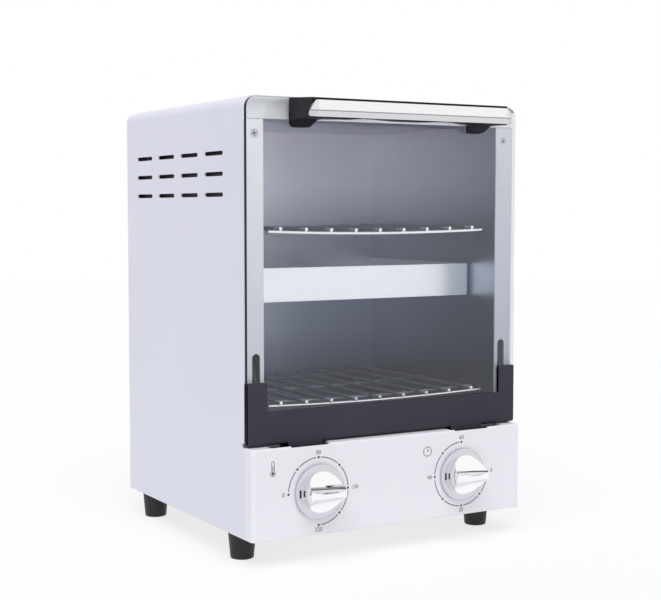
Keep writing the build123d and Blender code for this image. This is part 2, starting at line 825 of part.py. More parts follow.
# --- Timer with its bell -----------------------------------------------------------------------------
with BuildPart() as timer_body:
    bar_along_y(timer_x, dial_z, (bulkhead_back, bulkhead_back + timer_depth), timer_radius)
    bar_along_y(timer_x, dial_z, (bush_front, bulkhead_back), bush_outer)
    bar_along_y(timer_x, dial_z, bore_span, shaft_radius + running_gap, Mode.SUBTRACT)
save(timer_body, "timer_body")

bell_front = bulkhead_back + timer_depth
with BuildPart() as timer_bell:
    with BuildSketch(Plane.YZ.offset(timer_x)) as bell_section:
        with BuildLine():
            Polyline(
                (bell_front, dial_z),
                (bell_front, dial_z + shaft_radius),
                (bell_front + bell_height - bell_wall, dial_z + shaft_radius),
                (bell_front + bell_height - bell_wall, dial_z + bell_radius * 0.7),
                (bell_front + bell_wall, dial_z + bell_radius - bell_wall),
                (bell_front + bell_wall, dial_z + bell_radius),
                (bell_front + bell_height, dial_z + bell_radius * 0.75),
                (bell_front + bell_height, dial_z),
                close=True,
            )
        make_face()
    revolve(axis=Axis((timer_x, 0, dial_z), (0, 1, 0)))
save(timer_bell, "timer_bell")

with BuildPart() as control_nuts:
    for x, z in shaft_places:
        with BuildSketch(facing(bulkhead_front)):
            with Locations((x, z)):
                RegularPolygon(nut_size, 6)
                Circle(bush_outer, mode=Mode.SUBTRACT)
        extrude(amount=nut_thickness)
save(control_nuts, "control_nuts")

# --- Terminal block on the base, and the gland where the supply enters ------------------------------
with BuildPart() as terminal_block:
    block(
        (gland_x - 2 * terminal_width - terminal_length, gland_x - 2 * terminal_width),
        (deck_rear - 3 * terminal_width, deck_rear - 2 * terminal_width),
        (base_top, base_top + terminal_height),
    )
    for number in range(3):
        slot_x = gland_x - 2 * terminal_width - terminal_length * (number + 0.5) / 3
        bar_along_z(
            slot_x,
            deck_rear - 2.5 * terminal_width,
            (base_top + terminal_height / 2, base_top + terminal_height),
            screw_head_radius,
            Mode.SUBTRACT,
        )
save(terminal_block, "terminal_block")

gland_z = bottom + gland_height
with BuildPart() as cord_gland:
    bar_along_y(gland_x, gland_z, (cover_back, cover_back + gland_length), gland_radius)
    fillet(cord_gland.faces().sort_by(Axis.Y)[-1].edges(), trim_edge)
    bar_along_y(gland_x, gland_z, (cover_back - gland_thread, cover_back), gland_thread_radius)
    bar_along_y(gland_x, gland_z, (casing_back - gland_lip, casing_back), gland_lip_radius)
    bar_along_y(
        gland_x, gland_z, (cover_back - gland_thread, cover_back + gland_length), gland_bore, Mode.SUBTRACT
    )
save(cord_gland, "cord_gland")

# --- Feet -------------------------------------------------------------------------------------------
foot_names = ("front_left", "back_left", "front_right", "back_right")
for name, (x, y) in zip(foot_names, foot_places):
    with BuildPart() as foot:
        with Locations((x, y, foot_height / 2)):
            Cone(foot_bottom_radius, foot_top_radius, foot_height)
        fillet(foot.edges().sort_by(Axis.Z)[0], foot_edge)
        bar_along_z(x, y, (0, foot_height), foot_screw_radius + running_gap * 2, Mode.SUBTRACT)
        bar_along_z(x, y, (0, foot_recess), foot_recess_radius, Mode.SUBTRACT)
    save(foot, f"foot_{name}")

with BuildPart() as foot_screws:
    for x, y in foot_places:
        bar_along_z(x, y, (foot_recess - foot_screw_head, foot_recess), foot_recess_radius - swing_gap)
        bar_along_z(x, y, (foot_recess, base_top + 2 * base_sheet), foot_screw_radius)
save(foot_screws, "foot_screws")

# --- Door glass: full width above the trim's tabs, narrower between them -----------------------------
glass_half = half_width - glass_inset
upright_inner = half_width - trim_tab_width + trim_skin
rail_thick_top = trim_bottom + trim_skin + rail_rise
rail_top_z = rail_thick_top + rail_lap
with BuildPart() as door_glass:
    with BuildSketch(facing(glass_back)) as glass_face:
        with Locations((0, (tab_top + door_top) / 2)):
            Rectangle(2 * glass_half, door_top - tab_top)
        fillet(glass_face.vertices().group_by(Axis.Y)[-1], door_corner)
        with Locations((0, (rail_top_z + tab_top) / 2)):
            Rectangle(2 * upright_inner, tab_top - rail_top_z)
        with Locations((-handle_screw_x, handle_screw_z), (handle_screw_x, handle_screw_z)):
            Circle(handle_screw_radius + running_gap, mode=Mode.SUBTRACT)
    extrude(amount=glass_thickness)
save(door_glass, "door_glass")

# --- Door trim: a folded U along the bottom of the glass, with two knuckle tabs ----------------------
trim_side_low = hinge_z - (casing_front - hinge_y) + swing_gap
with BuildPart() as door_trim:
    with BuildSketch(facing(glass_back)):
        with Locations((0, (trim_bottom + trim_top) / 2)):
            Rectangle(body_width, trim_band)
        for side, sign in sides:
            with Locations((sign * (half_width - trim_tab_width / 2), (trim_top + tab_top) / 2)):
                Rectangle(trim_tab_width, trim_tab_rise)
    extrude(amount=glass_back - door_front)
    outer_front = door_trim.edges().filter_by(Axis.Z).group_by(Axis.Y)[0]
    fillet(outer_front.sort_by(Axis.X)[0], trim_edge)
    outer_front = door_trim.edges().filter_by(Axis.Z).group_by(Axis.Y)[0]
    fillet(outer_front.sort_by(Axis.X)[-1], trim_edge)
    lower_front = door_trim.edges().filter_by(Axis.X).group_by(Axis.Z)[0].sort_by(Axis.Y)[0]
    fillet(lower_front, trim_edge)
    block(
        (-inside_half, inside_half),
        (glass_front, glass_back),
        (trim_bottom + trim_skin, tab_top),
        Mode.SUBTRACT,
    )
    for side, sign in sides:
        block(
            (sign * (lug_middle + lug_width), sign * (spring_inner - lug_width / 2)),
            (glass_front, glass_back),
            (trim_bottom, trim_bottom + trim_skin),
            Mode.SUBTRACT,
        )
        block(
            (sign * (inside_half - swing_gap), sign * half_width),
            (glass_front, glass_back),
            (trim_bottom, trim_side_low),
            Mode.SUBTRACT,
        )
        block(
            (sign * knuckle_inner, sign * knuckle_outer),
            (door_front, glass_front),
            (trim_bottom - knuckle_drop, trim_bottom + trim_edge),
        )
save(door_trim, "door_trim")

# --- Hinge rail: the steel bar inside the trim that holds the pins and the door arms -----------------
rail_half = inside_half - swing_gap
rail_bottom = trim_bottom + trim_skin
upright_top = tab_top - upright_top_gap
notch_top = hinge_z + lug_radius + swing_gap
with BuildPart() as hinge_rail:
    block((-rail_half, rail_half), (glass_front, glass_front + rail_depth), (rail_bottom, rail_thick_top))
    block((-rail_half, rail_half), (glass_front, glass_back), (rail_thick_top, rail_top_z))
    for side, sign in sides:
        block(
            (sign * upright_inner, sign * rail_half),
            (glass_front, glass_back),
            (rail_top_z, upright_top),
        )
        block(
            (sign * (lug_middle + lug_width / 2 + swing_gap), sign * (spring_inner - swing_gap)),
            (glass_front, glass_front + rail_depth),
            (rail_bottom, notch_top),
            Mode.SUBTRACT,
        )
        bar_along_x((sign * pin_outer, sign * pin_inner), hinge_y, hinge_z, pin_radius, Mode.SUBTRACT)
save(hinge_rail, "hinge_rail")

for side, sign in sides:
    with BuildPart() as hinge_pin:
        bar_along_x((sign * pin_outer, sign * pin_inner), hinge_y, hinge_z, pin_radius)
    save(hinge_pin, f"hinge_pin_{side}")

# --- Door arms: quadrants round the hinge line that run in through the slots -------------------------
for side, sign in sides:
    with BuildPart() as door_arm:
        with BuildSketch(beside(sign * arm_middle)) as arm_face:
            with Locations((hinge_y, hinge_z)):
                Circle(arm_outer)
                Circle(arm_inner, mode=Mode.SUBTRACT)
                reach = 2 * arm_outer
                with BuildLine():
                    Polyline(
                        (hinge_y, hinge_z),
                        (hinge_y + reach * sin(radians(arm_start)), hinge_z + reach * cos(radians(arm_start))),
                        (hinge_y + reach, hinge_z + reach),
                        (hinge_y + reach, hinge_z),
                        (hinge_y + reach * sin(radians(arm_end)), hinge_z + reach * cos(radians(arm_end))),
                        close=True,
                    )
                make_face(mode=Mode.INTERSECT)
            with BuildLine():
                Polyline(
                    (glass_back, hinge_z + stem_low),
                    (glass_back, hinge_z + stem_high),
                    (hinge_y + arm_outer * sin(radians(arm_start)), hinge_z + arm_outer * cos(radians(arm_start))),
                    (
                        hinge_y + arm_inner * sin(radians(3 * arm_start)),
                        hinge_z + arm_inner * cos(radians(3 * arm_start)),
                    ),
                    close=True,
                )
            make_face()
            stop_low = hinge_z - (lug_radius + swing_gap + stop_width)
            with Locations((hinge_y + (stop_reach + arm_inner) / 2 + stop_width / 2, stop_low + stop_width / 2)):
                Rectangle(arm_inner - stop_reach + stop_width, stop_width)
        extrude(amount=arm_thickness / 2, both=True)
    save(door_arm, f"door_arm_{side}")

# --- Handle grip: a moulded bow on the glass ---------------------------------------------------------
grip_half = grip_length / 2
grip_middle_back = bar_back + grip_thickness
with BuildPart() as handle_grip:
    with BuildSketch(Plane.XY.offset(grip_bottom)) as grip_plan:
        with BuildLine():
            Polyline(
                (-grip_half, glass_front),
                (-grip_half, bar_back),
                (grip_half, bar_back),
                (grip_half, glass_front),
                (grip_half - foot_length, glass_front),
                (grip_half - foot_length - 2 * trim_edge, grip_middle_back + grip_thickness / 2),
                (grip_half - 2 * foot_length, grip_middle_back),
                (-grip_half + 2 * foot_length, grip_middle_back),
                (-grip_half + foot_length + 2 * trim_edge, grip_middle_back + grip_thickness / 2),
                (-grip_half + foot_length, glass_front),
                close=True,
            )
        make_face()
    extrude(amount=door_top - grip_bottom)
    fillet(handle_grip.edges().filter_by(Axis.Y).group_by(Axis.Z)[0], 2 * trim_edge)
    with BuildSketch(beside(-grip_half)):
        with BuildLine():
            Polyline(
                (bar_back, grip_top),
                (glass_front, door_top),
                (glass_front, door_top + trim_edge),
                (bar_back, door_top + trim_edge),
                close=True,
            )
        make_face()
    extrude(amount=grip_length, mode=Mode.SUBTRACT)
    with BuildSketch(facing(glass_front)):
        with BuildLine():
            arch_end = grip_half - arch_inset
            arch_flat = arch_end - arch_shoulder
            Spline(
                (-arch_end, grip_bottom),
                (-arch_flat, grip_bottom + 0.9 * grip_rise),
                (0, grip_bottom + grip_rise),
                (arch_flat, grip_bottom + 0.9 * grip_rise),
                (arch_end, grip_bottom),
                tangents=((1, 0), (1, 0)),
            )
            Polyline(
                (arch_end, grip_bottom),
                (arch_end, grip_bottom - trim_edge),
                (-arch_end, grip_bottom - trim_edge),
                (-arch_end, grip_bottom),
            )
        make_face()
    extrude(amount=glass_front - bar_back, mode=Mode.SUBTRACT)
    with BuildSketch(beside(-grip_half)):
        with BuildLine():
            Polyline(
                (glass_front - lobe_depth, grip_bottom),
                (glass_front - lobe_depth - lobe_slope, bar_bottom - grip_lip),
                (bar_back, bar_bottom - grip_lip),
                (bar_back, grip_bottom - trim_edge),
                (glass_front - lobe_depth, grip_bottom - trim_edge),
                close=True,
            )
        make_face()
    extrude(amount=grip_length, mode=Mode.SUBTRACT)
    for side, sign in sides:
        bar_along_y(
            sign * handle_screw_x,
            handle_screw_z,
            (glass_front - screw_length, glass_front),
            handle_screw_radius,
            Mode.SUBTRACT,
        )
save(handle_grip, "handle_grip")

# --- Handle bar: the bright facing strip along the front of the grip ---------------------------------
with BuildPart() as handle_bar:
    with BuildSketch(facing(bar_back)) as bar_face:
        with BuildLine():
            Polyline(
                (-bar_bottom_length / 2, bar_bottom),
                (-bar_top_length / 2, bar_top),
                (bar_top_length / 2, bar_top),
                (bar_bottom_length / 2, bar_bottom),
                close=True,
            )
        make_face()
        fillet(bar_face.vertices(), trim_edge)
    extrude(amount=bar_thickness)
    with BuildSketch(beside(-bar_bottom_length / 2)):
        with BuildLine():
            Polyline(
                (bar_front, bar_bottom + bar_facet),
                (bar_front + bar_facet_depth, bar_bottom),
                (bar_front, bar_bottom),
                close=True,
            )
        make_face()
    extrude(amount=bar_bottom_length, mode=Mode.SUBTRACT)
    for side, sign in sides:
        with BuildSketch(Plane.XY.offset(bar_bottom)):
            with BuildLine():
                Polyline(
                    (sign * bar_front_length / 2, bar_front),
                    (sign * bar_bottom_length / 2, bar_back - bar_end_edge),
                    (sign * bar_bottom_length / 2, bar_front),
                    close=True,
                )
            make_face()
        extrude(amount=bar_height, mode=Mode.SUBTRACT)
save(handle_bar, "handle_bar")

with BuildPart() as handle_screws:
    for side, sign in sides:
        x = sign * handle_screw_x
        bar_along_y(x, handle_screw_z, (glass_front - screw_length, glass_back), handle_screw_radius)
        bar_along_y(x, handle_screw_z, (glass_back, glass_back + handle_head), handle_head_radius)
save(handle_screws, "handle_screws")


# --- Knobs: a skirt and a drum, pinched to a level ridge, each on its own shaft ------------------------
skirt_front = knob_back - knob_skirt
knob_front = knob_back - knob_height
scoop_y = knob_front - scoop_lift - scoop_sweep
scoop_height = ridge_width / 2 + sqrt(scoop_radius**2 - scoop_lift**2)
shaft_front = knob_back - knob_height / 2
crown_radius = (drum_radius**2 + crown**2) / (2 * crown)

for name, x in (("temperature", temperature_x), ("timer", timer_x)):
    pointer_span = (x - pointer_x - pointer_width / 2, x - pointer_x + pointer_width / 2)
    pointer_rise = (dial_z - pointer_length / 2, dial_z + pointer_length / 2)
    with BuildPart() as knob:
        with BuildSketch(Plane.YZ.offset(x)):
            with BuildLine():
                Polyline(
                    (knob_front, dial_z),
                    (knob_back, dial_z),
                    (knob_back, dial_z + knob_radius),
                    (skirt_front + knob_bevel, dial_z + knob_radius),
                    (skirt_front, dial_z + knob_radius - knob_bevel),
                    (skirt_front, dial_z + drum_foot_radius),
                    (knob_front, dial_z + drum_radius),
                    close=True,
                )
            make_face()
        revolve(axis=Axis((x, 0, dial_z), (0, 1, 0)))
        with Locations((x, knob_front + crown_radius, dial_z)):
            Sphere(crown_radius, mode=Mode.INTERSECT)
        fillet(knob.edges().filter_by(GeomType.CIRCLE).sort_by(Axis.Y)[0], drum_shoulder)
        with Locations((x, scoop_y, dial_z + scoop_height), (x, scoop_y, dial_z - scoop_height)):
            Torus(scoop_sweep, scoop_radius, mode=Mode.SUBTRACT)
        fillet(knob.edges().sort_by(Axis.Y)[:2], ridge_edge)
        bar_along_y(x, dial_z, (shaft_front, knob_back), shaft_radius, Mode.SUBTRACT)
        block(pointer_span, (skirt_front, skirt_front + pointer_depth), pointer_rise, Mode.SUBTRACT)
    save(knob, f"{name}_knob")
    with BuildPart() as pointer:
        block(pointer_span, (skirt_front, skirt_front + pointer_depth), pointer_rise)
    save(pointer, f"{name}_pointer")
    with BuildPart() as shaft:
        bar_along_y(x, dial_z, (shaft_front, bulkhead_back + bush_length / 2), shaft_radius)
    save(shaft, f"{name}_shaft")
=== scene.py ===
"""Looks of the dry heat sterilizer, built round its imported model. Metres, in the model's own frame."""

import json
from math import cos, pi, radians, sin

import bmesh
import bpy
from mathutils import Matrix, Vector


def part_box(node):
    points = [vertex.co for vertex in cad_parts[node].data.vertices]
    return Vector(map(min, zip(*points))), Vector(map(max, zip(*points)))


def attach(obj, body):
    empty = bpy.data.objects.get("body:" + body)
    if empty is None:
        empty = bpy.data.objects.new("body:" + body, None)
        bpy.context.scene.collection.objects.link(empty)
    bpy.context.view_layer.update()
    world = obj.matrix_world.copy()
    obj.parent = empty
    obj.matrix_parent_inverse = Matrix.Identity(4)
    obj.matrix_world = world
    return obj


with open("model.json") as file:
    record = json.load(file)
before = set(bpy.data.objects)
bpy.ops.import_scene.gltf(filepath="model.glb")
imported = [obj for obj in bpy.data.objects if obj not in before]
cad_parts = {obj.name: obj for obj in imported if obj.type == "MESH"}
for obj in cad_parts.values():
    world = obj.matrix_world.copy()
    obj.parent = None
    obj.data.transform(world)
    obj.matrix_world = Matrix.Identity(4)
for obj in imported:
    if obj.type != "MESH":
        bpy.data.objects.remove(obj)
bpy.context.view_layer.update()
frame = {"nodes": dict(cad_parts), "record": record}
nodes = frame["nodes"]

PANEL_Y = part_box("control_panel")[0][1]  # the panel's front face
RACK_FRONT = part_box("upper_rack")[0][1]
FOOT = 0.022  # height of the casing's bottom
CHAMBER_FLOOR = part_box("chamber_back")[0][2]
CHAMBER_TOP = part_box("chamber_back")[1][2]
BAR_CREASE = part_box("handle_bar")[0][2] + 0.0046
OPENING_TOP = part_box("frame_strip_left")[1][2]
LINER_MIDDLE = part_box("chamber_back")[1][0] - 0.0005  # halfway through the chamber's side walls

# Dials and signs printed on the panel
DIAL_Z = FOOT + 0.0343
TEMPERATURE_X = -0.070
TIMER_X = 0.067
RING = 0.0268  # radius of the printed dials
RING_WIDTH = 0.0009
DOT = 0.0010
DOT_STEP = 45  # degrees between the dots
DOT_GAP = 4.5  # degrees left bare beside a dot
OVERLAP = 0.5  # degrees by which two arcs meet where there is no dot
DIGITS = 0.0046  # size of the numbers
PRINT = 0.00004  # how far printed ink stands off the panel
LINE = 0.0006  # width of the lines of the signs
THERMOMETER = (-0.1103, FOOT + 0.0520)  # middle of its bulb
STEM = 0.0011  # half the width of its stem
STEM_TOP = FOOT + 0.0602
CLOCK = (0.0328, FOOT + 0.0561)
CLOCK_RADIUS = 0.0039
TICK_START = 0.0030

SKIRT_START = 0.0160  # radius at which the grip of a knob passes into its skirt
SMOOTH_ANGLE = 35.0
NOISE_RANGE = (0.3, 0.7)  # where nearly all the values of a noise lie
CLOUD_RANGE = (0.35, 0.7)

# The camera that was fitted to the body's edges
LENS = 73.56
CAMERA_PLACE = (-0.59142, PANEL_Y - 0.90171, 0.25353 + FOOT)
CAMERA_TILT = 3.830
CAMERA_TURN = 30.548


# ---------------------------------------------------------------------------------------------
# Materials
# ---------------------------------------------------------------------------------------------


class Shader:
    """A material under construction, with short ways to add and join nodes."""

    SOCKETS = {
        "metal": "Metallic",
        "rough": "Roughness",
        "coat": "Coat Weight",
        "coat_rough": "Coat Roughness",
        "spec": "Specular IOR Level",
        "sheen": "Sheen Weight",
    }

    def __init__(self, name):
        self.mat = bpy.data.materials.new(name)
        self.mat.use_nodes = True
        self.tree = self.mat.node_tree
        self.bsdf = self.tree.nodes["Principled BSDF"]
        self.out = self.tree.nodes["Material Output"]
        self.coord = self.tree.nodes.new("ShaderNodeTexCoord").outputs["Object"]

    def set(self, **values):
        for key, value in values.items():
            self.bsdf.inputs[self.SOCKETS[key]].default_value = value
        return self

    def link(self, source, target):
        self.tree.links.new(source, target)

    def feed(self, value, socket):
        """Join an output to a socket, or write a plain value in it."""
        if isinstance(value, bpy.types.NodeSocket):
            self.link(value, socket)
        else:
            socket.default_value = value

    def add(self, kind, **inputs):
        node = self.tree.nodes.new(kind)
        for key, value in inputs.items():
            self.feed(value, node.inputs[key.replace("_", " ")])
        return node

    def mapped(self, scale):
        node = self.add("ShaderNodeMapping", Vector=self.coord)
        node.inputs["Scale"].default_value = scale
        return node.outputs["Vector"]

    def noise(self, scale, detail=3.0, rough=0.5, stretch=(1, 1, 1), distortion=0.0):
        return self.add(
            "ShaderNodeTexNoise",
            Vector=self.mapped(stretch),
            Scale=scale,
            Detail=detail,
            Roughness=rough,
            Distortion=distortion,
        ).outputs["Fac"]

    def rolled(self, scale=60.0, stretch=(1, 30, 30)):
        """The fine lines of rolled sheet."""
        return self.noise(scale, detail=6.0, rough=0.65, stretch=stretch)

    def polished(self):
        """Hairline marks of polishing."""
        return self.noise(1400.0, detail=4.0, stretch=(0.04, 1, 1))

    def ramp(self, fac, stops):
        node = self.add("ShaderNodeValToRGB", Fac=fac)
        elements = node.color_ramp.elements
        while len(elements) < len(stops):
            elements.new(0.5)
        for element, (place, color) in zip(elements, stops):
            element.position = place
            element.color = (*color, 1.0)
        return node.outputs["Color"]

    def span(self, value, low, high, start, end):
        """Low where a value is at start, high where it is at end."""
        node = self.add("ShaderNodeMapRange", Value=value)
        node.inputs["From Min"].default_value = start
        node.inputs["From Max"].default_value = end
        node.inputs["To Min"].default_value = low
        node.inputs["To Max"].default_value = high
        return node.outputs["Result"]

    def share(self, value, start, end):
        """0 where a value is at start, 1 where it is at end."""
        return self.span(value, 0.0, 1.0, start, end)

    def math(self, kind, a, b=0.0):
        node = self.tree.nodes.new("ShaderNodeMath")
        node.operation = kind
        for socket, value in zip(node.inputs, (a, b)):
            self.feed(value, socket)
        return node.outputs[0]

    def mix(self, fac, a, b):
        """Colour a where fac is 0, colour b where it is 1."""
        node = self.tree.nodes.new("ShaderNodeMix")
        node.data_type = "RGBA"
        sockets = {socket.name: socket for socket in node.inputs if socket.enabled}
        self.feed(fac, sockets["Factor"])
        for name, value in (("A", a), ("B", b)):
            self.feed((*value, 1.0) if isinstance(value, tuple) else value, sockets[name])
        return [socket for socket in node.outputs if socket.enabled][0]

    def mottle(self, fac, a, b, start=CLOUD_RANGE[0], end=CLOUD_RANGE[1]):
        """Two colours shared out by a noise."""
        return self.mix(self.share(fac, start, end), a, b)

    def color(self, value):
        self.link(value, self.bsdf.inputs["Base Color"])

    def rough(self, value):
        self.link(value, self.bsdf.inputs["Roughness"])

    def vary_rough(self, fac, low, high, start=NOISE_RANGE[0], end=NOISE_RANGE[1]):
        """Roughness that follows a noise."""
        self.rough(self.span(fac, low, high, start, end))

    def bump(self, height, strength, distance, rounding=0.0):
        node = self.add("ShaderNodeBump", Height=height, Strength=strength, Distance=distance)
        if rounding:
            bevel = self.tree.nodes.new("ShaderNodeBevel")
            bevel.samples = 4
            bevel.inputs["Radius"].default_value = rounding
            self.link(bevel.outputs["Normal"], node.inputs["Normal"])
        self.link(node.outputs["Normal"], self.bsdf.inputs["Normal"])

    def along(self, vector, letter):
        return self.add("ShaderNodeSeparateXYZ", Vector=vector).outputs[letter]

    def place(self, letter):
        """Where a point of the piece is, in metres."""
        return self.along(self.coord, letter)

    def facing(self, letter):
        """How far the piece's own surface faces along an axis, either way."""
        normal = self.tree.nodes.new("ShaderNodeTexCoord").outputs["Normal"]
        return self.math("ABSOLUTE", self.along(normal, letter))


def mix_shader(tree, fac, first, second):
    """The first shader where fac is 0, the second where it is 1."""
    node = tree.nodes.new("ShaderNodeMixShader")
    for source, socket in zip((fac, first, second), node.inputs):
        tree.links.new(source, socket)
    return node.outputs["Shader"]


def seeing_rays(tree):
    """1 for a ray that shows the background: from the camera, reflected, or let through."""
    rays = tree.nodes.new("ShaderNodeLightPath").outputs
    found = rays["Is Camera Ray"]
    for kind in ("Is Glossy Ray", "Is Transmission Ray"):
        either = tree.nodes.new("ShaderNodeMath")
        either.operation = "MAXIMUM"
        tree.links.new(found, either.inputs[0])
        tree.links.new(rays[kind], either.inputs[1])
        found = either.outputs[0]
    return found


def painted(name, tone, rough=0.36):
    """Sprayed enamel: soft orange peel, a faint cloudiness, and rounded sheet edges. Tone makes its two colours."""
    s = Shader(name).set(coat=0.15, coat_rough=0.25)
    s.color(s.mottle(s.noise(9.0, detail=4.0), *tone(s)))
    s.vary_rough(s.noise(38.0, detail=5.0), rough - 0.05, rough + 0.07)
    s.bump(s.noise(620.0, detail=2.0), 0.06, 0.0002, 0.0004)
    return s.mat


def shell_tone(s):
    """Lavender white, with painted light on the front of the lip over the door opening, which is painted a lighter,
    colder white.
    """
    above = s.share(s.place("Z"), OPENING_TOP - 0.001, OPENING_TOP)
    in_front = s.span(s.place("Y"), 1.0, 0.0, -0.05, -0.04)
    # Painted light: the front face of the lip above the opening is painted a lighter white.
    lip = s.math("MULTIPLY", s.math("MULTIPLY", above, s.facing("Y")), in_front)
    return [s.mix(lip, color, (0.925, 0.93, 0.95)) for color in ((0.775, 0.775, 0.875), (0.76, 0.76, 0.865))]


def strip_painted_shade_tone(s):
    """Pale blue-grey, with painted shade: darker towards the bottom near the hinge and on the right, lighter towards
    the top.
    """
    # Painted shade at the bottom and on the right, painted light at the top: the strips' colours follow height and
    # side.
    painted_shade_low_pair = ((0.545, 0.57, 0.65), (0.395, 0.42, 0.49))
    painted_light_high_pair = ((0.97, 0.975, 0.99), (0.79, 0.815, 0.865))
    height = s.share(s.place("Z"), CHAMBER_FLOOR, OPENING_TOP)
    right = s.share(s.place("X"), -0.05, 0.05)
    tones = []
    for shade in (1.0, 0.98):
        low, high = (
            s.mix(right, *(tuple(shade * c for c in color) for color in pair)) for pair in (painted_shade_low_pair, painted_light_high_pair)
        )
        tones.append(s.mix(height, low, high))
    return tones


def trim_enamel():
    """Dark satin enamel, with painted shade making its side faces nearly black."""
    s = Shader("trim_enamel").set(coat=0.0, spec=0.05)
    broad = s.mottle(s.noise(9.0, detail=4.0), (0.054, 0.053, 0.069), (0.048, 0.047, 0.062))
    # Painted shade: faces that look along X are painted nearly black.
    s.color(s.mix(s.share(s.facing("X"), 0.6, 0.8), broad, (0.003, 0.003, 0.007)))
    s.vary_rough(s.noise(38.0, detail=5.0), 0.4, 0.52)
    s.bump(s.noise(620.0, detail=2.0), 0.1, 0.0002, 0.0004)
    return s.mat


def moulded(name, color, dark, rough=0.5, grain=900.0, depth=0.12, spec=0.45, rounding=0.0003):
    """Moulded plastic with a fine spark-eroded grain."""
    s = Shader(name).set(spec=spec)
    s.color(s.mottle(s.noise(60.0, detail=4.0), color, dark))
    s.vary_rough(s.noise(140.0, detail=3.0), rough - 0.06, rough + 0.08)
    s.bump(s.noise(grain, detail=3.0, rough=0.6), depth, 0.00015, rounding)
    return s.mat


def sheet_metal(name, color, dark, rough, scale=60.0):
    """Rolled or brushed metal: fine lines along one direction and a cloudy tone."""
    s = Shader(name).set(metal=1.0)
    lines = s.rolled(scale)
    tone = s.math("MULTIPLY", lines, s.noise(14.0, detail=4.0))
    s.color(s.mottle(tone, color, dark, 0.15, 0.42))
    s.vary_rough(lines, rough - 0.08, rough + 0.1)
    s.bump(lines, 0.05, 0.0001, 0.0003)
    return s.mat


def chamber_sheet():
    """Bright rolled sheet with random wear; painted light makes it lighter towards the top, painted shade makes it
    darker down to the floor and nearly black on the walls' outer faces.
    """
    s = Shader("chamber_sheet").set(metal=1.0)
    lines = s.rolled(stretch=(1, 1, 30))
    # Painted light and shade: a ramp from dark at the floor to light at the top.
    heat = s.ramp(
        s.share(s.place("Z"), CHAMBER_FLOOR, CHAMBER_TOP),
        [
            (0.00, (0.275, 0.305, 0.41)),
            (0.38, (0.35, 0.385, 0.475)),
            (0.62, (0.49, 0.53, 0.61)),
            (0.80, (0.655, 0.67, 0.75)),
            (1.00, (0.75, 0.745, 0.81)),
        ],
    )
    wear = s.span(s.math("MULTIPLY", lines, s.noise(7.0, detail=3.0)), 0.0, 0.22, 0.15, 0.42)
    # Painted shade: the outer faces of the side walls are painted nearly black.
    painted_shade_outside = s.share(s.math("ABSOLUTE", s.place("X")), LINER_MIDDLE - 0.0001, LINER_MIDDLE + 0.0001)
    s.color(s.mix(painted_shade_outside, s.mix(wear, heat, (0.34, 0.36, 0.42)), (0.035, 0.035, 0.04)))
    s.vary_rough(lines, 0.27, 0.37)
    s.bump(lines, 0.006, 0.0001, 0.0003)
    return s.mat


def rail_sheet():
    """Sheet like the chamber's, with painted light and shade by height, and painted shade making its ends nearly black.
    """
    s = Shader("rail_sheet").set(metal=1.0)
    lines = s.rolled(stretch=(1, 1, 30))
    # Painted light and shade: lighter at the top, darker towards the floor.
    tone = s.mix(s.share(s.place("Z"), CHAMBER_FLOOR, CHAMBER_TOP), (0.28, 0.31, 0.40), (0.60, 0.63, 0.70))
    # Painted shade: faces that look along Y are painted nearly black.
    s.color(s.mix(s.share(s.facing("Y"), 0.3, 0.5), tone, (0.09, 0.095, 0.115)))
    s.vary_rough(lines, 0.27, 0.37)
    s.bump(lines, 0.006, 0.0001)
    return s.mat


def shield_sheet():
    """Bright folded band with brushed lines."""
    s = Shader("shield_sheet").set(metal=1.0)
    lines = s.rolled()
    s.color(s.mottle(lines, (0.94, 0.96, 1.0), (0.88, 0.905, 0.955), *NOISE_RANGE))
    s.vary_rough(lines, 0.26, 0.40)
    s.bump(lines, 0.04, 0.0001, 0.0005)
    return s.mat


def bar_plating():
    """Bright plating over a folded strip, with painted dark reflections at its ends and along the line where the two
    faces meet, and a painted greyer reflection on its lower face.
    """
    s = Shader("bar_plating").set(metal=1.0)
    height = s.place("Z")
    away = s.math("ABSOLUTE", s.math("SUBTRACT", height, BAR_CREASE))
    # Painted reflection: a dark line along the crease, a greyer lower face and dark ends.
    crease = s.span(away, 1.0, 0.0, 0.0002, 0.0006)
    lower = s.span(height, 1.0, 0.0, BAR_CREASE - 0.0003, BAR_CREASE + 0.0003)
    dull = s.math("MAXIMUM", crease, s.share(s.facing("X"), 0.3, 0.6))
    s.color(s.mix(dull, s.mix(lower, (0.90, 0.895, 0.90), (0.70, 0.695, 0.715)), (0.30, 0.30, 0.33)))
    s.vary_rough(s.polished(), 0.10, 0.16, *CLOUD_RANGE)
    s.bump(s.noise(160.0, detail=2.0), 0.01, 0.0001, 0.0004)
    return s.mat


def knob_plating():
    """Bright plating, satin on the skirt, and greyer there with painted shade."""
    s = Shader("knob_plating").set(metal=1.0)
    away = []
    for centre in (TEMPERATURE_X, TIMER_X):
        across = s.math("SUBTRACT", s.place("X"), centre)
        up = s.math("SUBTRACT", s.place("Z"), DIAL_Z)
        squares = s.math("ADD", s.math("MULTIPLY", across, across), s.math("MULTIPLY", up, up))
        away.append(s.math("SQRT", squares))
    skirt = s.share(s.math("MINIMUM", *away), SKIRT_START, SKIRT_START + 0.0008)
    # Painted shade: the skirt is painted greyer than the grip.
    s.color(s.mix(skirt, (0.95, 0.95, 0.96), (0.68, 0.68, 0.73)))
    s.rough(s.math("ADD", s.span(s.polished(), 0.05, 0.10, *CLOUD_RANGE), s.math("MULTIPLY", skirt, 0.12)))
    s.bump(s.noise(160.0, detail=2.0), 0.01, 0.0001, 0.0004)
    return s.mat


